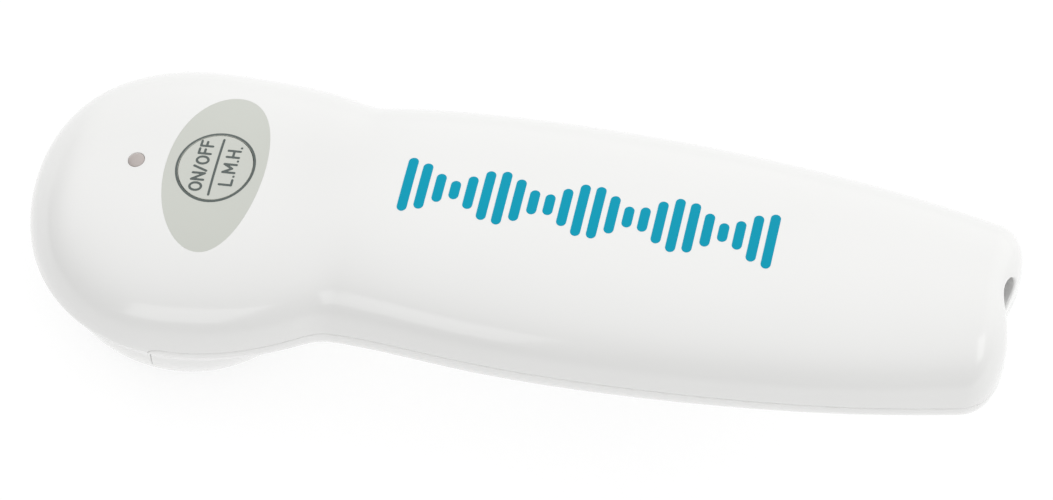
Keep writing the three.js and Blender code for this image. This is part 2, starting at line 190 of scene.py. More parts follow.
def half_width(x):
    reach = np.where(x < 0, NOSE_REACH, NECK_REACH)
    head = HEAD_HALF_WIDTH * oval(x / reach, HEAD_POWER)
    return np.where(x < NECK_START, head, blend_max(head, handle_half_width(x), NECK_BLEND))


def oval_reach(c, s, width, height):
    """Distance from a section's centre to its oval along each spoke."""
    across, up = np.abs(c) / width, np.abs(s) / height
    return (across**SECTION_POWER + up**SECTION_POWER) ** (-1 / SECTION_POWER)


def bowl_reach(x, c, s, z):
    """Distance from a section's centre to the head's bowl along each spoke."""
    low = np.zeros_like(x)
    high = low + 60
    for _ in range(40):
        mid = (low + high) / 2
        across = np.hypot(x, mid * c) / BOWL_RADIUS
        down = np.abs(z + mid * s) / BOWL_DEPTH
        within = across**BOWL_POWER + down**BOWL_POWER < 1
        low = np.where(within, mid, low)
        high = np.where(within, high, mid)
    return low


def skin(x, angles):
    """Points of the body's outer skin, from each section's x and the angle in it."""
    c, s = np.cos(angles), np.sin(angles)
    tight = oval(np.clip((x - (HANDLE_END - END_ROUND)) / END_ROUND, 0, 1), END_POWER)
    middle = parting_z(x)
    width = np.maximum(half_width(x), 1e-4)
    above = np.maximum(crown_z(x) - middle, 1e-4)
    taper = oval(np.clip((TAPER_START - x) / (TAPER_START + NOSE_REACH), 0, 1), SECTION_POWER)
    below = np.maximum(handle_depth(x) * taper, 1e-4)
    upper = oval_reach(c, s, width, above)
    bowl = bowl_reach(x, c, s, middle - HEAD_CENTRE_Z)
    crease = BOWL_BLEND * np.clip(-3 * s, 0.01, 1)
    lower = blend_max(bowl, oval_reach(c, s, width, below), crease)
    reach = np.where(s < 0, lower, upper) * tight
    y = reach * c
    scooped = np.clip((x - HANDLE_END + SCOOP_LENGTH) / SCOOP_LENGTH, 0, 1) ** 2
    hollow = np.exp(-((y / SCOOP_WIDTH) ** 2)) * scooped
    return np.stack([x - SCOOP_DEPTH * hollow, y, middle + reach * s], -1)


def unit(vectors):
    return vectors / np.maximum(np.linalg.norm(vectors, axis=-1, keepdims=True), 1e-12)


def skin_normals(x, angles):
    step = np.minimum(0.02, 0.3 * np.minimum(x + NOSE_REACH, HANDLE_END - x))
    along = skin(x + step, angles) - skin(x - step, angles)
    around = skin(x, angles + 1e-4) - skin(x, angles - 1e-4)
    return unit(np.cross(unit(around), unit(along)))


# ---- frames of the key, the boards and the jack ------------------------------
def frame_at(x, z, tilt):
    """Axes and origin of a frame tipped about Y, its X axis climbing by tilt degrees."""
    c, s = math.cos(math.radians(tilt)), math.sin(math.radians(tilt))
    return np.array([[c, 0, s], [0, 1, 0], [-s, 0, c]]), np.array([x, 0, z])


PART = (np.eye(3), np.zeros(3))
KEY = frame_at(KEY_X, float(crown_z(KEY_X)), KEY_TILT)
BOARD = frame_at(BOARD_X, BOARD_Z, BOARD_TILT)
JACK = frame_at(JACK_X, JACK_Z, BOARD_TILT)
JACK_BORE = (JACK[0][[1, 2, 0]], JACK[1])  # the jack's frame with its bore along Z


def inside(place, points):
    """World points in a frame's own coordinates."""
    axes, origin = place
    return (points - origin) @ axes.T


def outside(place, points):
    """A frame's points in world coordinates."""
    axes, origin = place
    return np.asarray(points, float) @ axes + origin


# ---- fields: signed distance to a cut line, positive on what is kept ----------
def seam_field(points):
    """Positive above the parting line and ahead of its turn down to the rim."""
    ahead = SEAM_X - points[:, 0] + SEAM_CORNER
    over = points[:, 2] - parting_z(points[:, 0]) + SEAM_CORNER
    corner = np.hypot(np.maximum(ahead, 0), np.maximum(over, 0))
    return np.minimum(np.maximum(ahead, over), 0) + corner - SEAM_CORNER


def rim_field(points):
    return points[:, 2] - RIM_Z


def higher_than(height):
    return lambda points: points[:, 2] > height


def lower_than(height):
    return lambda points: points[:, 2] < height


def hole_field(place, x, y, radius, near):
    """Distance outside a round hole along a frame's Z, on the side that near picks."""

    def field(points):
        p = inside(place, points)
        distance = np.hypot(p[:, 0] - x, p[:, 1] - y) - radius
        return np.where(near(p), distance, FAR)

    return field


def overlay_field(points):
    """Distance outside the overlay's oval on the crown."""
    p = inside(KEY, points)
    a, b = OVERLAY_HALF_LENGTH, OVERLAY_HALF_WIDTH
    level = (p[:, 0] / a) ** 2 + (p[:, 1] / b) ** 2 - 1
    slope = 2 * np.hypot(p[:, 0] / a**2, p[:, 1] / b**2)
    return np.where(p[:, 2] > -12, level / np.maximum(slope, 0.05), FAR)


def label_field(extra):
    """Distance outside the rating label's rounded rectangle on the underside."""
    x0, x1, y0, y1 = LABEL_SIZE

    def field(points):
        p = inside(BOARD, points)
        dx = np.abs(p[:, 0] - (x0 + x1) / 2) - (x1 - x0) / 2 - extra + LABEL_CORNER
        dy = np.abs(p[:, 1] - (y0 + y1) / 2) - (y1 - y0) / 2 - extra + LABEL_CORNER
        flat = np.minimum(np.maximum(dx, dy), 0)
        distance = flat + np.hypot(np.maximum(dx, 0), np.maximum(dy, 0)) - LABEL_CORNER
        return np.where(p[:, 2] < -4, distance, FAR)

    return field


def stroke_field(place, lines, width):
    """Positive within strokes of one width along lines of (x, y) points in a frame."""

    def field(points):
        p = inside(place, points)[:, :2]
        nearest = np.full(len(p), FAR)
        for line in lines:
            for start, end in zip(np.array(line[:-1], float), np.array(line[1:], float)):
                run = end - start
                share = np.clip((p - start) @ run / max(run @ run, 1e-9), 0, 1)
                gap = np.linalg.norm(p - start - share[:, None] * run, axis=1)
                nearest = np.minimum(nearest, gap)
        return width / 2 - nearest

    return field


def negative(field):
    return lambda points: -field(points)


# ---- patches of skin -----------------------------------------------------------
class Patch:
    """Part of the body's skin, as polygons with (station, angle) corners."""

    def __init__(self, stations, angles, closed=False):
        rows, columns = len(stations), len(angles)
        grid = np.meshgrid(stations, angles, indexing="ij")
        self.uv = np.stack([grid[0].ravel(), grid[1].ravel()], -1)
        corner = (np.arange(rows - 1)[:, None] * columns + np.arange(columns - 1)).ravel()
        quads = np.stack([corner, corner + 1, corner + columns + 1, corner + columns], -1)
        self.faces = quads.tolist()
        if closed:
            last = (rows - 1) * columns
            self.faces.append(list(range(columns - 2, -1, -1)))
            self.faces.append(list(range(last, last + columns - 1)))
        self.points = skin(self.uv[:, 0], self.uv[:, 1])
        self.normals = skin_normals(self.uv[:, 0], self.uv[:, 1])
        self.tilted = self.normals.copy()
        self.drop = np.zeros(len(self.uv))

    def grow(self, uv):
        uv = np.array(uv, float).reshape(-1, 2)
        normals = skin_normals(uv[:, 0], uv[:, 1])
        self.uv = np.vstack([self.uv, uv])
        self.points = np.vstack([self.points, skin(uv[:, 0], uv[:, 1])])
        self.normals = np.vstack([self.normals, normals])
        self.tilted = np.vstack([self.tilted, normals])
        self.drop = np.append(self.drop, np.zeros(len(uv)))

    def face_range(self, value):
        """Lowest and highest of a corner value on each polygon."""
        sizes = np.fromiter(map(len, self.faces), int, len(self.faces))
        corners = np.fromiter(itertools.chain.from_iterable(self.faces), int, int(sizes.sum()))
        starts = np.concatenate([[0], np.cumsum(sizes)[:-1]])
        listed = value[corners]
        return np.minimum.reduceat(listed, starts), np.maximum.reduceat(listed, starts)

    def score(self, field, level=0.0):
        """Splits polygons along one level line of a field."""
        value = field(self.points) - level
        value[np.abs(value) < SNAP] = 0
        low, high = self.face_range(value)
        made, fresh, extra = {}, [], []
        for index in np.nonzero((low < 0) & (high > 0))[0]:
            polygon = self.faces[index]
            over, under = [], []
            for i, j in zip(polygon, polygon[1:] + polygon[:1]):
                if value[i] >= 0:
                    over.append(i)
                if value[i] <= 0:
                    under.append(i)
                if value[i] * value[j] < 0:
                    edge = (min(i, j), max(i, j))
                    if edge not in made:
                        share = value[i] / (value[i] - value[j])
                        made[edge] = len(self.uv) + len(fresh)
                        fresh.append(self.uv[i] * (1 - share) + self.uv[j] * share)
                    over.append(made[edge])
                    under.append(made[edge])
            self.faces[index] = over
            extra.append(under)
        self.faces += [face for face in extra if len(face) > 2]
        if fresh:
            self.grow(fresh)

    def keep(self, field, level=0.0):
        """Drops the polygons on the negative side of a field's level line."""
        low, high = self.face_range(field(self.points) - level)
        wanted = low + high > 0
        kept = itertools.compress(self.faces, wanted)
        self.faces = [face for face in kept if len(face) > 2]

    def slope(self, field, chosen):
        """Direction along the skin in which a field grows, at chosen corners."""
        points, normals = self.points[chosen], self.normals[chosen]
        rise = np.zeros_like(points)
        for axis, step in enumerate(np.eye(3) * 0.01):
            rise[:, axis] = field(points + step) - field(points - step)
        rise -= normals * np.sum(rise * normals, axis=1, keepdims=True)
        return unit(rise)

    def cut(self, field, level=0.0, radius=0.25):
        """Cuts the skin on a field's level line and rounds the edge that is left."""
        for share in EDGE_STEPS:
            self.score(field, level + radius * share)
        self.keep(field, level)
        value = field(self.points) - level
        chosen = np.nonzero((value > -TOUCH) & (value < radius))[0]
        lean = np.clip(1 - value[chosen] / radius, 0, 1)
        upright = np.sqrt(1 - lean**2)
        self.drop[chosen] += radius * (1 - upright)
        turned = self.tilted[chosen] * upright[:, None]
        turned -= self.slope(field, chosen) * lean[:, None]
        self.tilted[chosen] = unit(turned)

    def soften_rim(self, width=0.4):
        """Leans the normals just above the rim downwards, as a small radius does."""
        value = rim_field(self.points)
        chosen = np.nonzero((value > -TOUCH) & (value < width))[0]
        lean = np.clip(1 - value[chosen] / width, 0, 1)[:, None]
        self.tilted[chosen] = unit(self.tilted[chosen] - lean * (0, 0, 1.0))

    def open_edges(self, field, level=0.0):
        """Edges of the kept skin that lie on a field's level line, in face order."""
        near = np.abs(field(self.points) - level) < ON_LINE
        low, high = self.face_range(near.astype(float))
        seen = set()
        for index in np.nonzero(high > 0)[0]:
            face = self.faces[index]
            seen.update(pair for pair in zip(face, face[1:] + face[:1]) if near[list(pair)].all())
        return sorted(pair for pair in seen if pair[::-1] not in seen)


def to_plane(place, height):
    """Far edge of a wall that runs along a frame's Z to one height."""

    def end(points, _):
        p = inside(place, points)
        p[:, 2] = height
        return outside(place, p)

    return end


def to_depth(depth):
    """Far edge of a wall that runs straight in from the skin."""
    return lambda points, normals: points - normals * depth


def rounded(corners, steps=6):
    """Profile of (radius, z) points whose corners given a third number get that radius."""
    line = []
    for i, (r, z, *fillet) in enumerate(corners):
        here = np.array([r, z], float)
        if not fillet:
            line.append(here)
            continue
        before = unit(np.array(corners[i - 1][:2], float) - here)
        after = unit(np.array(corners[i + 1][:2], float) - here)
        half = math.acos(float(np.clip(before @ after, -1, 1))) / 2
        middle = here + unit(before + after) * fillet[0] / math.sin(half)
        first = here + before * fillet[0] / math.tan(half) - middle
        last = here + after * fillet[0] / math.tan(half) - middle
        for share in np.linspace(0, 1, steps + 1):
            line.append(middle + unit(first * (1 - share) + last * share) * fillet[0])
    return np.array(line)


class Shape:
    """Vertices (mm), polygons and a normal for each vertex, gathered for one piece."""

    def __init__(self):
        self.vertices, self.faces, self.normals = [], [], []
        self.count = 0

    def add(self, vertices, faces, normals):
        self.vertices.append(np.asarray(vertices, float))
        self.normals.append(np.asarray(normals, float))
        self.faces += [[i + self.count for i in face] for face in faces]
        self.count += len(vertices)

    def add_patch(self, patch, raised=0.0, flipped=False):
        used = np.unique(list(itertools.chain.from_iterable(patch.faces)))
        place = {i: k for k, i in enumerate(used.tolist())}
        lift = (raised - patch.drop[used])[:, None]
        vertices = patch.points[used] + patch.normals[used] * lift
        faces = [[place[i] for i in face] for face in patch.faces]
        normals = patch.tilted[used]
        if flipped:
            faces = [face[::-1] for face in faces]
            normals = -normals
        self.add(vertices, faces, normals)

    def add_strip(self, rings, normals, edges):
        """Bands between rings of matching points, along edges in the first ring."""
        count = len(rings[0])
        faces = []
        for i, j in edges:
            for low in range(0, (len(rings) - 1) * count, count):
                faces.append([j + low, i + low, i + low + count, j + low + count])
        self.add(np.vstack(rings), faces, np.vstack(normals))

    def add_wall(self, patch, field, end, level=0.0, raised=0.0, steps=3):
        """Wall that runs in from the cut edge on a field's level line to its far edge."""
        edges = patch.open_edges(field, level)
        if not edges:
            return
        used = sorted(set(itertools.chain.from_iterable(edges)))
        place = {i: k for k, i in enumerate(used)}
        points, normals = patch.points[used], patch.normals[used]
        start = points + normals * (raised - patch.drop[used])[:, None]
        far = end(points + normals * raised, normals)
        facing = -patch.slope(field, used)
        rings = [start + (far - start) * step / steps for step in range(steps + 1)]
        self.add_strip(rings, [facing] * (steps + 1), [(place[i], place[j]) for i, j in edges])

    def add_turned(self, profile, place=PART, centre=(0.0, 0.0), sides=96, crisp=30):
        """(radius, z) profile turned about a frame's Z; bends over crisp degrees stay sharp."""
        profile = np.array([point[:2] for point in profile], float)
        runs = unit(np.diff(profile, axis=0))
        facing = np.column_stack([runs[:, 1], -runs[:, 0]])
        angles = np.linspace(0, 2 * np.pi, sides, endpoint=False)
        spin = np.column_stack([np.cos(angles), np.sin(angles)])
        limit = math.cos(math.radians(crisp))
        loop = [(k, (k + 1) % sides) for k in range(sides)]
        for i, own in enumerate(facing):
            rings, normals = [], []
            for corner, other in ((i, i - 1), (i + 1, i + 1)):
                radius, height = profile[corner]
                soft = 0 <= other < len(facing) and own @ facing[other] > limit
                lean = unit(own + facing[other]) if soft else own
                rings.append(np.column_stack([spin * radius + centre, np.full(sides, height)]))
                normals.append(np.column_stack([spin * lean[0], np.full(sides, lean[1])]))
            rings = [outside(place, ring) for ring in rings[::-1]]
            self.add_strip(rings, [normal @ place[0] for normal in normals[::-1]], loop)

    def build(self, name, body, material, replaces=()):
        mesh = bpy.data.meshes.new(name)
        mesh.from_pydata((np.vstack(self.vertices) * MM).tolist(), [], self.faces)
        mesh.update()
        mesh.normals_split_custom_set_from_vertices(unit(np.vstack(self.normals)).tolist())
        mesh.materials.append(material)
        piece = bpy.data.objects.new(name, mesh)
        bpy.context.scene.collection.objects.link(piece)
        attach(piece, body)
        if replaces:
            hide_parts(*replaces)
        return piece


def spaced(places, travel, cell, fine):
    """Places one cell apart in travel, closer in each (middle, reach, weight) zone of fine."""
    weight = np.ones_like(places)
    for middle, reach, more in fine:
        weight = np.where(np.abs(places - middle) < reach, more, weight)
    load = np.concatenate([[0], np.cumsum(np.diff(travel) * weight[1:])])
    return np.interp(np.linspace(0, load[-1], int(load[-1] / cell) + 2), load, places)


def stations_between(x0, x1, cell, fine=()):
    """Sections one cell apart along the longest rib of the skin."""
    x = x0 + (x1 - x0) * (1 - np.cos(np.pi * np.linspace(0, 1, SAMPLES))) / 2
    longest = np.zeros(len(x) - 1)
    for angle in np.linspace(0, 2 * np.pi, 12, endpoint=False):
        rib = skin(x, np.full_like(x, angle))
        longest = np.maximum(longest, np.linalg.norm(np.diff(rib, axis=0), axis=1))
    return spaced(x, np.concatenate([[0], np.cumsum(longest)]), cell, fine)


def angles_between(a0, a1, cell, radius, fine=()):
    """Angles one cell apart on a circle of a radius."""
    a = np.linspace(a0, a1, SAMPLES)
    return spaced(a, radius * (a - a0), cell, fine)


LAMP_X = float(outside(KEY, [LAMP_OFFSET, 0, 0])[0])
FRONT_SCREW_X, REAR_SCREW_X = BOARD_X - 37.4, BOARD_X + 48.2


def body_patch(cell, detailed=True):
    """The whole skin, with closer sections at the lamp and the screws."""
    fine_x = [(LAMP_X, 3.2, 2.4), (FRONT_SCREW_X, 4.5, 2.2), (REAR_SCREW_X, 4.5, 2.2)]
    fine_a = [(math.pi / 2, 0.11, 2.4), (3 * math.pi / 2, 0.24, 2.4)]
    fine_a += [(3 * math.pi / 2 + side * 0.86, 0.2, 2.2) for side in (-1, 1)]
    fine_a += [(0, 0.02, 4), (math.pi, 0.02, 4), (2 * math.pi, 0.02, 4)]
    if not detailed:
        fine_x, fine_a = [], []
    stations = stations_between(-NOSE_REACH + POLE, HANDLE_END - POLE, cell, fine_x)
    return Patch(stations, angles_between(0, 2 * math.pi, cell, 27, fine_a), closed=True)


def crown_patch(x0, x1, y_reach, cell):
    """Fine patch of the crown between two x, reaching y_reach to each side."""
    trial = np.linspace(0, math.pi / 2, 400)
    spread = 0
    for x in (x0, (x0 + x1) / 2, x1):
        y = skin(np.full_like(trial, x), math.pi / 2 - trial)[:, 1]
        spread = max(spread, float(np.interp(y_reach, y, trial)))
    stations = stations_between(x0, x1, cell)
    count = int(2 * y_reach / cell) + 2
    return Patch(stations, np.linspace(math.pi / 2 - spread, math.pi / 2 + spread, count))


# ---- materials -------------------------------------------------------------------
def principled(name, base, roughness, metallic=0.0, coat=0.0, coat_roughness=0.05):
    material = bpy.data.materials.new(name)
    material.use_nodes = True
    shader = material.node_tree.nodes["Principled BSDF"]
    shader.inputs["Base Color"].default_value = (*base, 1)
    shader.inputs["Roughness"].default_value = roughness
    shader.inputs["Metallic"].default_value = metallic
    shader.inputs["Coat Weight"].default_value = coat
    shader.inputs["Coat Roughness"].default_value = coat_roughness
    return material, shader


def noise(tree, scale, detail=3.0, stretch=(1, 1, 1)):
    """Noise over object coordinates; scale is in cycles per metre."""
    place = tree.nodes.new("ShaderNodeTexCoord")
    mapping = tree.nodes.new("ShaderNodeMapping")
    mapping.inputs["Scale"].default_value = stretch
    texture = tree.nodes.new("ShaderNodeTexNoise")
    texture.inputs["Scale"].default_value = scale
    texture.inputs["Detail"].default_value = detail
    tree.links.new(place.outputs["Object"], mapping.inputs["Vector"])
    tree.links.new(mapping.outputs["Vector"], texture.inputs["Vector"])
    return texture.outputs["Fac"]


def ranged(tree, value, low, high):
    """Spreads the middle of a noise over a range."""
    spread = tree.nodes.new("ShaderNodeMapRange")
    spread.inputs["From Min"].default_value = 0.3
    spread.inputs["From Max"].default_value = 0.7
    spread.inputs["To Min"].default_value = low
    spread.inputs["To Max"].default_value = high
    tree.links.new(value, spread.inputs["Value"])
    return spread.outputs["Result"]


def tinted(tree, shader, factor, first, second):
    mix = tree.nodes.new("ShaderNodeMix")
    mix.data_type = "RGBA"
    mix.inputs["A"].default_value = (*first, 1)
    mix.inputs["B"].default_value = (*second, 1)
    tree.links.new(factor, mix.inputs["Factor"])
    tree.links.new(mix.outputs["Result"], shader.inputs["Base Color"])


def bump(tree, shader, value, distance, strength):
    node = tree.nodes.new("ShaderNodeBump")
    node.inputs["Distance"].default_value = distance
    node.inputs["Strength"].default_value = strength
    tree.links.new(value, node.inputs["Height"])
    tree.links.new(node.outputs["Normal"], shader.inputs["Normal"])


def moulded(name, base, roughness, spread=0.05, coat=0.0, grain=1500, depth=4e-6, shade=0.96):
    """Plastic, film or ink: slight colour flow, uneven gloss and a fine skin texture."""
    material, shader = principled(name, base, roughness, coat=coat)
    tree = material.node_tree
    flow = ranged(tree, noise(tree, 28, 4, (1, 1.6, 1)), 0, 1)
    tinted(tree, shader, flow, base, [channel * shade for channel in base])
    gloss = ranged(tree, noise(tree, 45, 2), roughness - spread, roughness + spread)
    tree.links.new(gloss, shader.inputs["Roughness"])
    bump(tree, shader, noise(tree, grain, 3), depth, 0.5)
    return material


def worked_metal(name, base, roughness, stretch=(1, 1, 1), scale=900, depth=4e-6):
    """Metal with fine tool marks, long along the axis with the small stretch."""
    material, shader = principled(name, base, roughness, metallic=1.0)
    tree = material.node_tree
    marks = noise(tree, scale, 5, stretch)
    tinted(tree, shader, ranged(tree, marks, 0, 1), base, [channel * 0.88 for channel in base])
    gloss = ranged(tree, noise(tree, 300, 4), roughness * 0.7, roughness * 1.35)
    tree.links.new(gloss, shader.inputs["Roughness"])
    bump(tree, shader, marks, depth, 0.4)
    return material


def turned_metal(name, base, roughness, pitch=0.0006, depth=2.5e-6):
    """Metal faced on a lathe: fine rings about Z and a soft spread of gloss."""
    material, shader = principled(name, base, roughness, metallic=1.0)
    tree = material.node_tree
    place = tree.nodes.new("ShaderNodeTexCoord")
    rings = tree.nodes.new("ShaderNodeTexWave")
    rings.wave_type = "RINGS"
    rings.rings_direction = "Z"
    rings.inputs["Scale"].default_value = math.pi / 10 / pitch
    rings.inputs["Distortion"].default_value = 0.4
    tree.links.new(place.outputs["Object"], rings.inputs["Vector"])
    tinted(tree, shader, ranged(tree, noise(tree, 120, 3), 0, 1), base, [c * 0.985 for c in base])
    gloss = ranged(tree, noise(tree, 400, 2), roughness * 0.92, roughness * 1.1)
    tree.links.new(gloss, shader.inputs["Roughness"])
    bump(tree, shader, rings.outputs["Fac"], depth, 0.6)
    return material


WHITE = (0.80, 0.80, 0.79)
KEY_GREY = (0.57, 0.585, 0.54)
shell_plastic = moulded("shell_plastic", WHITE, 0.17, 0.012, 0.4, depth=4e-7, shade=0.99)
key_film = moulded("key_film", KEY_GREY, 0.4, grain=2600, depth=6e-6, shade=0.97)
key_plastic = moulded("key_plastic", KEY_GREY, 0.38, grain=2600, depth=6e-6, shade=0.97)
dark_ink = moulded("dark_ink", (0.085, 0.105, 0.098), 0.45, grain=3000)
teal_ink = moulded("teal_ink", (0.0, 0.31, 0.45), 0.5, grain=3000, shade=0.94)
teal_ink.node_tree.nodes["Principled BSDF"].inputs["Specular IOR Level"].default_value = 0.12
label_film = moulded("label_film", (0.56, 0.57, 0.575), 0.36, 0.06, grain=2200, depth=5e-6)
lamp_plastic = moulded("lamp_plastic", (0.44, 0.39, 0.37), 0.16, 0.03, 0.8, grain=900)
aluminium = turned_metal("turned_aluminium", (0.86, 0.865, 0.87), 0.2)
steel = worked_metal("plated_steel", (0.62, 0.62, 0.63), 0.26)
FINISHES = {
    "white_shell": shell_plastic,
    "key_grey": key_plastic,
    "label": label_film,
    "lamp": lamp_plastic,
    "treatment_metal": aluminium,
    "steel": steel,
    "seal_rubber": moulded("seal_rubber", (0.028, 0.028, 0.03), 0.6, grain=1800, depth=8e-6),
    "piezo_ceramic": worked_metal("fired_silver", (0.72, 0.70, 0.64), 0.5, scale=1600, depth=8e-6),
    "contact_brass": worked_metal("sprung_brass", (0.72, 0.52, 0.21), 0.28),
    "pale_plastic": moulded("natural_nylon", (0.70, 0.68, 0.59), 0.48, depth=8e-6),
    "black_plastic": moulded("black_plastic", (0.018, 0.019, 0.021), 0.4, depth=8e-6, shade=0.8),
    "circuit_board": moulded("solder_mask", (0.012, 0.13, 0.045), 0.3, grain=900, shade=0.7),
    "heat_sink_metal": worked_metal("extruded_aluminium", (0.55, 0.56, 0.58), 0.38, (1, 1, 0.06)),
    "capacitor_sleeve": moulded("capacitor_sleeve", (0.012, 0.022, 0.085), 0.32, shade=0.8),
    "winding": worked_metal(
        "enamelled_copper", (0.52, 0.2, 0.07), 0.3, (0.06, 0.06, 1), 3500, 3e-5
    ),
    "wire_red": moulded("red_lead", (0.42, 0.012, 0.01), 0.46, grain=2400, shade=0.85),
    "wire_black": moulded("black_lead", (0.015, 0.015, 0.016), 0.46, grain=2400, shade=0.8),
    "wire_grey": moulded("grey_cable", (0.19, 0.195, 0.205), 0.46, grain=2400, shade=0.85),
}
for part in frame["record"]["subparts"]:
    for surface in frame["nodes"][part["node"]].material_slots:
        surface.material = FINISHES[part["material_slot"]]

# ---- shells -------------------------------------------------------------------
lamp_hole = hole_field(KEY, LAMP_OFFSET, 0, LAMP_HOLE_RADIUS, higher_than(-6))
key_hole = hole_field(KEY, 0, 0, KEY_HOLE_RADIUS, higher_than(-6))
jack_hole = hole_field(JACK_BORE, 0, 0, JACK_HOLE_RADIUS, higher_than(-4))
bores = [
    hole_field(BOARD, x, y, COUNTERBORE_RADIUS, lower_than(-4)) for x, y in CASE_SCREWS.values()
]
label_pocket = label_field(LABEL_MARGIN)
OVERLAY_SPAN = (KEY_X - 14, KEY_X + 14, 20)  # x0, x1 and reach in y of the skin round it


def add_rim(shape, patch):
    """Flat rim under the shell, then the seal's recess and the head's opening."""
    edges = patch.open_edges(rim_field)
    used = sorted(set(itertools.chain.from_iterable(edges)))
    place = {i: k for k, i in enumerate(used)}
    outer = patch.points[used]
    radial = unit(outer * (1, 1, 0))
    down = np.tile((0.0, 0.0, -1.0), (len(used), 1))
    rings, normals = [outer], [down]
    for radius, height, facing in [
        (RIM_INNER_RADIUS, RIM_Z, down),
        (SEAL_RECESS_RADIUS, RIM_Z + 0.2, down - radial),
        (SEAL_RECESS_RADIUS, SEAL_RECESS_Z, -radial),
        (HEAD_OPENING_RADIUS, SEAL_RECESS_Z, down),
        (HEAD_OPENING_RADIUS, 6.2, -radial),
    ]:
        rings.append(radial * radius + (0, 0, height))
        normals.append(facing)
    shape.add_strip(rings, normals, [(place[i], place[j]) for i, j in edges])


def make_shell(side, cuts, through, finish_inside):
    """Half of the case: its skin, the walls in from each cut, its rim and its lining.

    cuts holds (field, edge radius, far edge) and through holds the lining's (field, level).
    """
    own_seam = seam_field if side == "upper" else negative(seam_field)
    shape = Shape()
    patch = body_patch(SKIN_CELL)
    for level in (0.4, 0.25, 0.12, 0.0):
        patch.score(rim_field, level)
    patch.keep(rim_field)
    patch.soften_rim()
    patch.cut(own_seam, SEAM_GAP / 2, SEAM_EDGE[side])
    for field, radius, _ in cuts:
        patch.cut(field, 0.0, radius)
    shape.add_patch(patch)
    shape.add_wall(patch, own_seam, to_depth(WALL), SEAM_GAP / 2)
    for field, _, end in cuts:
        shape.add_wall(patch, field, end)
    add_rim(shape, patch)
    lining = body_patch(LINING_CELL, detailed=False)
    for field, level in [(rim_field, 3.5), (own_seam, SEAM_GAP / 2), *through]:
        lining.score(field, level)
        lining.keep(field, level)
    shape.add_patch(lining, raised=-WALL, flipped=True)
    finish_inside(shape)
    name = side + "_shell"
    return shape.build(name + "_moulding", "case", shell_plastic, [name])


def finish_upper(shape):
    """Floor of the overlay's pocket, with the key's hole through it."""
    patch = crown_patch(*OVERLAY_SPAN, 0.5)
    for field in (negative(overlay_field), key_hole):
        patch.score(field)
        patch.keep(field)
    shape.add_patch(patch, raised=-POCKET_DEPTH)
    shape.add_wall(patch, key_hole, to_depth(WALL - POCKET_DEPTH), raised=-POCKET_DEPTH)


def finish_lower(shape):
    """Floor of the label's pocket and the shoulders in the screws' counterbores."""
    patch = underside_patch(0.7)
    patch.score(negative(label_pocket))
    patch.keep(negative(label_pocket))
    shape.add_patch(patch, raised=-LABEL_POCKET_DEPTH)
    for centre in CASE_SCREWS.values():
        shoulder = [(1.5, -3.0), (1.5, COUNTERBORE_Z), (COUNTERBORE_RADIUS, COUNTERBORE_Z)]
        shape.add_turned(shoulder, BOARD, centre, 48)


def underside_patch(cell):
    """Fine patch of the skin under the label."""
    x0, x1 = BOARD_X + LABEL_SIZE[0] - 4, BOARD_X + LABEL_SIZE[1] + 6
    middle = 3 * math.pi / 2
    angles = angles_between(middle - 0.8, middle + 0.8, cell, 22)
    return Patch(stations_between(x0, x1, cell), angles)


make_shell(
    "upper",
    [
        (overlay_field, 0.03, to_depth(POCKET_DEPTH)),
        (lamp_hole, 0.15, to_depth(WALL)),
        (jack_hole, 0.6, to_plane(JACK_BORE, 1.0)),
    ],
    [(key_hole, 0.0), (lamp_hole, 0.0), (jack_hole, 0.0)],
    finish_upper,
)
make_shell(
    "lower",
    [
        (label_pocket, 0.2, to_depth(LABEL_POCKET_DEPTH)),
        *[(bore, 0.35, to_plane(BOARD, COUNTERBORE_Z)) for bore in bores],
    ],
    [(bore, 0.0) for bore in bores],
    finish_lower,
)

# ---- overlay, key and printing -------------------------------------------------
overlay = Shape()
film = crown_patch(*OVERLAY_SPAN, 0.45)
film.cut(negative(overlay_field), 0.0, 0.04)
film.cut(key_hole, 0.0, 0.1)
overlay.add_patch(film)
overlay.add_wall(film, negative(overlay_field), to_depth(OVERLAY_THICKNESS))
overlay.add_wall(film, key_hole, to_depth(OVERLAY_THICKNESS))
overlay.build("key_overlay_film", "case", key_film, ["key_overlay"])

cap = Shape()
key_edge = negative(hole_field(KEY, 0, 0, KEY_RADIUS, higher_than(-30)))
cap_skin = crown_patch(KEY_X - 9, KEY_X + 9, 9, 0.3)
cap_skin.cut(key_edge, 0.0, 0.14)
cap.add_patch(cap_skin)
KEY_FLANGE_TOP, KEY_FLANGE_BASE, KEY_STEM_END = -3.4, -4.4, -6.2
cap.add_wall(cap_skin, key_edge, to_plane(KEY, KEY_FLANGE_TOP))
stem = [(0, KEY_STEM_END), (2, KEY_STEM_END), (2, KEY_FLANGE_BASE)]
flange = [(9, KEY_FLANGE_BASE), (9, KEY_FLANGE_TOP), (KEY_RADIUS, KEY_FLANGE_TOP)]
cap.add_turned(stem + flange, KEY)
cap.build("power_key_cap", "key", key_plastic, ["power_key"])


def add_print(shape, field, x0, x1, y_reach, cell):
    """Printed mark: the part of the skin where a field is positive, a hair proud of it."""
    patch = crown_patch(x0, x1, y_reach, cell)
    patch.score(field)
    patch.keep(field)
    shape.add_patch(patch, raised=PRINT_HEIGHT)
    shape.add_wall(patch, field, to_depth(0.0), raised=PRINT_HEIGHT, steps=1)


def oval_line(cx, cy, rx, ry, count=24):
    """Points round an oval, the last on the first."""
    angles = np.radians(np.linspace(0, 360, count + 1))
    return [(cx + rx * math.cos(a), cy + ry * math.sin(a)) for a in angles]


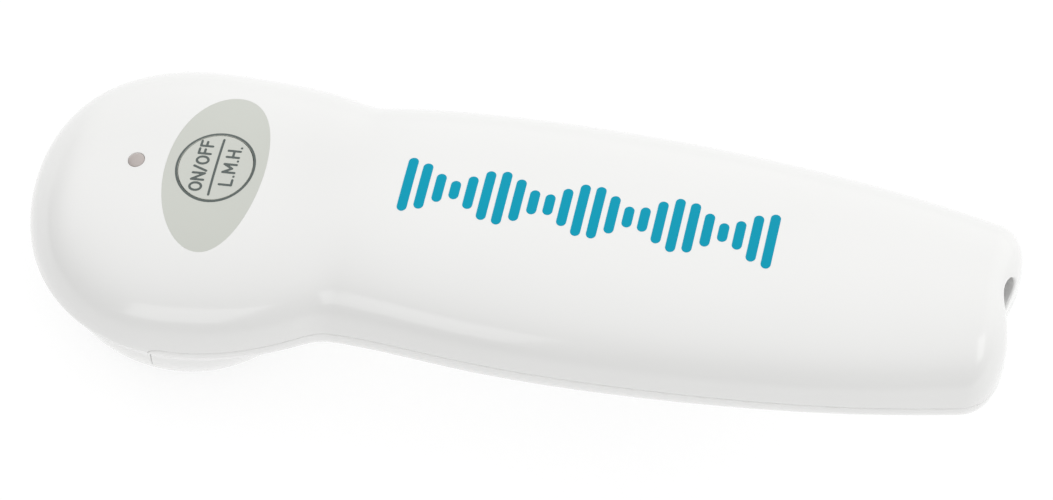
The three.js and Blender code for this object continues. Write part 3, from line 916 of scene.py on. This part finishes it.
# Letters as strokes in a box one unit high: (width, lines), x along the line of text.
LETTERS = {
    "O": (0.74, [oval_line(0.37, 0.5, 0.31, 0.44)]),
    "N": (0.68, [[(0.06, 0.04), (0.06, 0.96), (0.62, 0.04), (0.62, 0.96)]]),
    "F": (0.54, [[(0.06, 0.04), (0.06, 0.96), (0.5, 0.96)], [(0.06, 0.52), (0.44, 0.52)]]),
    "/": (0.4, [[(0.02, 0.0), (0.38, 1.0)]]),
    "L": (0.54, [[(0.06, 0.96), (0.06, 0.04), (0.5, 0.04)]]),
    "M": (0.82, [[(0.06, 0.04), (0.06, 0.96), (0.41, 0.3), (0.76, 0.96), (0.76, 0.04)]]),
    "H": (
        0.68,
        [[(0.06, 0.04), (0.06, 0.96)], [(0.62, 0.04), (0.62, 0.96)], [(0.06, 0.5), (0.62, 0.5)]],
    ),
    ".": (0.2, [[(0.1, 0.03), (0.11, 0.03)]]),
}


def lettering(text, height, length, base_x, shift=0.0):
    """Strokes of a line of text that runs along the key's Y, its letters' tops to -X."""
    total = sum(LETTERS[letter][0] for letter in text)
    gap = (length / height - total) / (len(text) - 1)
    along, lines = (shift - length / 2) / height, []
    for letter in text:
        width, strokes = LETTERS[letter]
        for stroke in strokes:
            lines.append([(base_x - v * height, (along + u) * height) for u, v in stroke])
        along += width + gap
    return lines


TEXT_HEIGHT, TEXT_STROKE = 2.75, 0.5
DIVIDER_X, DIVIDER_REACH = 0.15, 6.6
RING_RADIUS, RING_STROKE = 8.03, 0.46
key_lines = [[(DIVIDER_X, -DIVIDER_REACH), (DIVIDER_X, DIVIDER_REACH)]]
key_lines += lettering("ON/OFF", TEXT_HEIGHT, 12.0, -1.6)
key_lines += lettering("L.M.H.", TEXT_HEIGHT, 9.4, 4.4, 0.5)
marking = Shape()
add_print(marking, stroke_field(KEY, key_lines, TEXT_STROKE), KEY_X - 8, KEY_X + 8, 7.4, 0.13)
marking.build("key_marking", "key", dark_ink)
ring = Shape()
ring_lines = [oval_line(0, 0, RING_RADIUS, RING_RADIUS, 120)]
add_print(ring, stroke_field(KEY, ring_lines, RING_STROKE), KEY_X - 9, KEY_X + 9, 8.8, 0.22)
ring.build("key_ring", "case", dark_ink)

WAVE_START, WAVE_PITCH, WAVE_BARS, WAVE_WIDTH = 43.9, 3.15, 24, 2.0
WAVE_LOW, WAVE_RISE, WAVE_BEAT = 2.1, 4.2, 5.75  # half heights in mm, beat length in bars
wave = Shape()
for bar in range(WAVE_BARS):
    x = WAVE_START + bar * WAVE_PITCH
    beat = 0.5 + 0.5 * math.cos(2 * math.pi * (bar - (WAVE_BARS - 1) / 2) / WAVE_BEAT)
    half = WAVE_LOW + WAVE_RISE * beat**0.8 - WAVE_WIDTH / 2
    bar_field = stroke_field(PART, [[(x, -half), (x, half)]], WAVE_WIDTH)
    add_print(wave, bar_field, x - 1.1, x + 1.1, half + 1.2, 0.2)
wave.build("crown_waveform", "case", teal_ink)

# ---- lamp, treatment head, seal, jack, label and screws ---------------------------
QUARTER_TURN = math.pi / 2
LAMP_DOME_HEIGHT, LAMP_SUNK = 0.6, 0.3
lamp = Shape()
flange = [(0, -5.6), (1.9, -5.6), (1.9, -4.8), (LAMP_RADIUS, -4.8)]
dome = [
    (LAMP_RADIUS * math.cos(a), LAMP_DOME_HEIGHT * math.sin(a) - LAMP_SUNK)
    for a in np.linspace(0, QUARTER_TURN, 13)
]
lamp.add_turned(flange + dome, KEY, (LAMP_OFFSET, 0), 48)
lamp.build("status_lamp_dome", "case", lamp_plastic, ["status_lamp"])

head = Shape()
head.add_turned(
    rounded(
        [
            (0, 0), (21.4, 0, 0.8), (21.4, 2.6, 0.25), (18.4, 2.6, 0.3), (18.4, 13, 0.3),
            (16.4, 13, 0.3), (16.4, 3.2, 0.8), (0, 3.2),
        ]
    ),
    sides=192,
)
head.build("treatment_head_turned", "case", aluminium, ["treatment_head"])

seal = Shape()
seal_section = [
    (SEAL_RADIUS + SEAL_CORD_RADIUS * math.cos(a), SEAL_Z + SEAL_CORD_RADIUS * math.sin(a))
    for a in np.linspace(0, 2 * math.pi, 25)
]
seal.add_turned(seal_section, sides=144)
seal.build("head_seal_ring", "case", FINISHES["seal_rubber"], ["head_seal"])

jack = Shape()
jack.add_turned(
    rounded(
        [
            (0, -9.6), (4.4, -9.6, 0.4), (4.4, -0.4), (4.6, -0.4), (4.6, 2.2, 0.35),
            (3.1, 2.2, 0.45), (3.1, -7.6), (0, -7.6),
        ]
    ),
    JACK_BORE,
)
jack.build("dc_jack_socket", "case", FINISHES["black_plastic"], ["dc_jack"])

pin = Shape()
tip = [(math.cos(a), 0.4 + math.sin(a)) for a in np.linspace(0, QUARTER_TURN, 9)]
pin.add_turned([(0, -7.3), (1.0, -7.3), *tip], JACK_BORE, sides=32)
pin.build("jack_centre_pin", "case", steel, ["jack_pin"])

label = Shape()
label_skin = underside_patch(0.6)
label_skin.cut(negative(label_field(0.0)), 0.0, 0.08)
label.add_patch(label_skin, raised=-LABEL_SUNK)
label.add_wall(label_skin, negative(label_field(0.0)), to_depth(0.35), raised=-LABEL_SUNK)
label.build("rating_label_film", "case", label_film, ["rating_label"])

SCREW_RADIUS, SCREW_TOP, SCREW_SEAT = 2.5, -9.2, -7.3
CROSS_HALF_WIDTH, CROSS_REACH, CROSS_DEPTH = 0.42, 1.5, 1.05


def screw_height(x, y):
    """Z of a pan head's outer face in the board's frame, with its cross recess."""
    r = np.hypot(x, y)
    face = SCREW_TOP + 0.32 * (r / SCREW_RADIUS) ** 2
    face += 0.9 * np.clip((r - 1.9) / 0.6, 0, 1) ** 3
    arm = np.minimum(np.abs(x), np.abs(y))
    reach = np.maximum(np.abs(x), np.abs(y))
    across = np.clip((CROSS_HALF_WIDTH - arm) / 0.12, 0, 1)
    along = np.clip((CROSS_REACH - reach) / 0.3, 0, 1)
    return face + CROSS_DEPTH * (across * along) * (1 - 0.25 * reach)


def add_screw(side, centre):
    rings = np.concatenate([np.linspace(0, 1.7, 26), np.linspace(1.75, SCREW_RADIUS, 9)])
    angles = np.linspace(0, 2 * np.pi, 96, endpoint=False)
    r, a = np.meshgrid(rings, angles, indexing="ij")
    x, y = (r * np.cos(a)).ravel(), (r * np.sin(a)).ravel()
    step = 0.01
    rise_x = (screw_height(x + step, y) - screw_height(x - step, y)) / (2 * step)
    rise_y = (screw_height(x, y + step) - screw_height(x, y - step)) / (2 * step)
    normals = np.column_stack([rise_x, rise_y, -np.ones_like(x)])
    points = np.column_stack([x + centre[0], y + centre[1], screw_height(x, y)])
    faces = []
    for i in range(len(rings) - 1):
        for k in range(len(angles)):
            n = (k + 1) % len(angles)
            low, high = i * len(angles), (i + 1) * len(angles)
            faces.append([low + k, high + k, high + n, low + n][::-1])
    shape = Shape()
    shape.add(outside(BOARD, points), faces, normals @ BOARD[0])
    edge = float(screw_height(SCREW_RADIUS, 0.0))
    shank = [(1.2, SCREW_SEAT), (1.2, 5.6), (0, 6.6)]
    shape.add_turned([(SCREW_RADIUS, edge), (SCREW_RADIUS, SCREW_SEAT), *shank], BOARD, centre, 96)
    shape.build(f"case_screw_{side}_head", "case", steel, [f"case_screw_{side}"])


for side, centre in CASE_SCREWS.items():
    add_screw(side, centre)

# ---- floor, light and camera -------------------------------------------------------
scene = bpy.context.scene
scene.view_settings.view_transform = "Standard"
scene.view_settings.look = "None"

FLOOR_GREY = (0.3, 0.3, 0.3)
FLOOR_SHADE = (0.297, 0.297, 0.297)
# Painted light: the floor's glow lights it up so the object's shadow barely shows, and its fade on
# the near side is painted shade for the near flank to reflect.
PAINTED_FLOOR_GLOW = 0.72
PAINTED_GLOW_SIDE = (0.4, 1, 0)  # the glow fades out toward the near side, against this direction
PAINTED_GLOW_EDGE = (-0.2, -0.062)  # distances between which it fades
DOME_SIDE = (0.2, 0.41, 0)  # the dome brightens in this direction and with height
DOME_BASE = 0.55
DOME_RISE = 1.18
DOME_BLEND = 0.2
DOME_LOW_LIGHT = 0.28
DOME_HIGH_LIGHT = 1.18


def add_floor():
    """Pale floor that shows nothing from below, so views from under it stay clear. Its paleness is
    painted light: a grey floor made to glow so that the object's shadow barely shows, and the glow
    fades out on the near side as painted shade that the near flank reflects.
    """
    mesh = bpy.data.meshes.new("studio_floor")
    mesh.from_pydata([(-3, -3, 0), (3, -3, 0), (3, 3, 0), (-3, 3, 0)], [], [(0, 1, 2, 3)])
    material, shader = principled("studio_floor", FLOOR_GREY, 0.9)
    shader.inputs["Specular IOR Level"].default_value = 0.0
    shader.inputs["Emission Color"].default_value = (1, 1, 1, 1)
    tree = material.node_tree
    tinted(tree, shader, noise(tree, 3), FLOOR_GREY, FLOOR_SHADE)
    place = tree.nodes.new("ShaderNodeTexCoord")
    across = tree.nodes.new("ShaderNodeVectorMath")
    across.operation = "DOT_PRODUCT"
    across.inputs[1].default_value = PAINTED_GLOW_SIDE
    fade = tree.nodes.new("ShaderNodeMapRange")
    fade.interpolation_type = "SMOOTHSTEP"
    fade.inputs["From Min"].default_value, fade.inputs["From Max"].default_value = PAINTED_GLOW_EDGE
    fade.inputs["To Min"].default_value = 0.0
    fade.inputs["To Max"].default_value = PAINTED_FLOOR_GLOW
    tree.links.new(place.outputs["Object"], across.inputs[0])
    tree.links.new(across.outputs["Value"], fade.inputs["Value"])
    # Emission here is painted light on the floor, fading to a painted dark patch on the near side.
    tree.links.new(fade.outputs["Result"], shader.inputs["Emission Strength"])
    clear = tree.nodes.new("ShaderNodeBsdfTransparent")
    side = tree.nodes.new("ShaderNodeNewGeometry")
    mix = tree.nodes.new("ShaderNodeMixShader")
    tree.links.new(side.outputs["Backfacing"], mix.inputs["Fac"])
    tree.links.new(shader.outputs["BSDF"], mix.inputs[1])
    tree.links.new(clear.outputs["BSDF"], mix.inputs[2])
    tree.links.new(mix.outputs["Shader"], tree.nodes["Material Output"].inputs["Surface"])
    mesh.materials.append(material)
    floor = bpy.data.objects.new("studio_floor", mesh)
    scene.collection.objects.link(floor)


def add_area(name, place, target, size, power):
    data = bpy.data.lights.new(name, "AREA")
    data.shape = "RECTANGLE"
    data.size, data.size_y = size
    data.energy = power
    light = bpy.data.objects.new(name, data)
    light.location = place
    aim = Vector(target) - Vector(place)
    light.rotation_mode = "QUATERNION"
    light.rotation_quaternion = aim.to_track_quat("-Z", "Y")
    light.visible_camera = False
    scene.collection.objects.link(light)


def add_world():
    """Soft dome, bright overhead and behind, and dim low on the near side."""
    world = bpy.data.worlds.new("studio")
    world.use_nodes = True
    tree = world.node_tree
    place = tree.nodes.new("ShaderNodeTexCoord")
    parts = tree.nodes.new("ShaderNodeSeparateXYZ")
    across = tree.nodes.new("ShaderNodeVectorMath")
    across.operation = "DOT_PRODUCT"
    across.inputs[1].default_value = DOME_SIDE
    behind = tree.nodes.new("ShaderNodeMath")
    behind.inputs[1].default_value = DOME_BASE
    overhead = tree.nodes.new("ShaderNodeMath")
    overhead.operation = "MULTIPLY"
    overhead.inputs[1].default_value = DOME_RISE
    either = tree.nodes.new("ShaderNodeMath")
    either.operation = "SMOOTH_MAX"
    either.inputs[2].default_value = DOME_BLEND
    ramp = tree.nodes.new("ShaderNodeValToRGB")
    ramp.color_ramp.interpolation = "EASE"
    tree.links.new(place.outputs["Generated"], parts.inputs["Vector"])
    tree.links.new(place.outputs["Generated"], across.inputs[0])
    tree.links.new(across.outputs["Value"], behind.inputs[0])
    tree.links.new(parts.outputs["Z"], overhead.inputs[0])
    tree.links.new(behind.outputs["Value"], either.inputs[0])
    tree.links.new(overhead.outputs["Value"], either.inputs[1])
    tree.links.new(either.outputs["Value"], ramp.inputs["Fac"])
    tree.links.new(ramp.outputs["Color"], tree.nodes["Background"].inputs["Color"])
    low, high = ramp.color_ramp.elements
    share = DOME_LOW_LIGHT / DOME_HIGH_LIGHT
    low.position, low.color = 0.0, (share, share, share, 1)
    high.position, high.color = 1.0, (1, 1, 1, 1)
    tree.nodes["Background"].inputs["Strength"].default_value = DOME_HIGH_LIGHT
    scene.world = world


add_floor()
add_world()
add_area("end_softbox", (0.59, -0.71, 0.86), (0.07, 0, 0.04), (0.34, 0.8), 1.05)
add_area("near_softbox", (-0.36, -1.14, 0.23), (0.02, 0, 0.04), (0.44, 0.42), 0.75)

CAMERA_PLACE = Vector((0.12806, -0.49732, 0.88306))
CAMERA_TARGET = Vector((0.06885, 0.0, 0.04189))
CAMERA_ROLL = 6.57  # degrees
CAMERA_LENS = 167.52
camera_data = bpy.data.cameras.new("camera")
camera_data.lens = CAMERA_LENS
camera_data.sensor_width = 36
camera_data.clip_start, camera_data.clip_end = 0.01, 20
camera = bpy.data.objects.new("camera", camera_data)
camera.location = CAMERA_PLACE
camera.rotation_mode = "QUATERNION"
back = CAMERA_PLACE - CAMERA_TARGET
roll = Quaternion((0, 0, 1), math.radians(CAMERA_ROLL))
camera.rotation_quaternion = back.to_track_quat("Z", "Y") @ roll
scene.collection.objects.link(camera)
scene.camera = camera
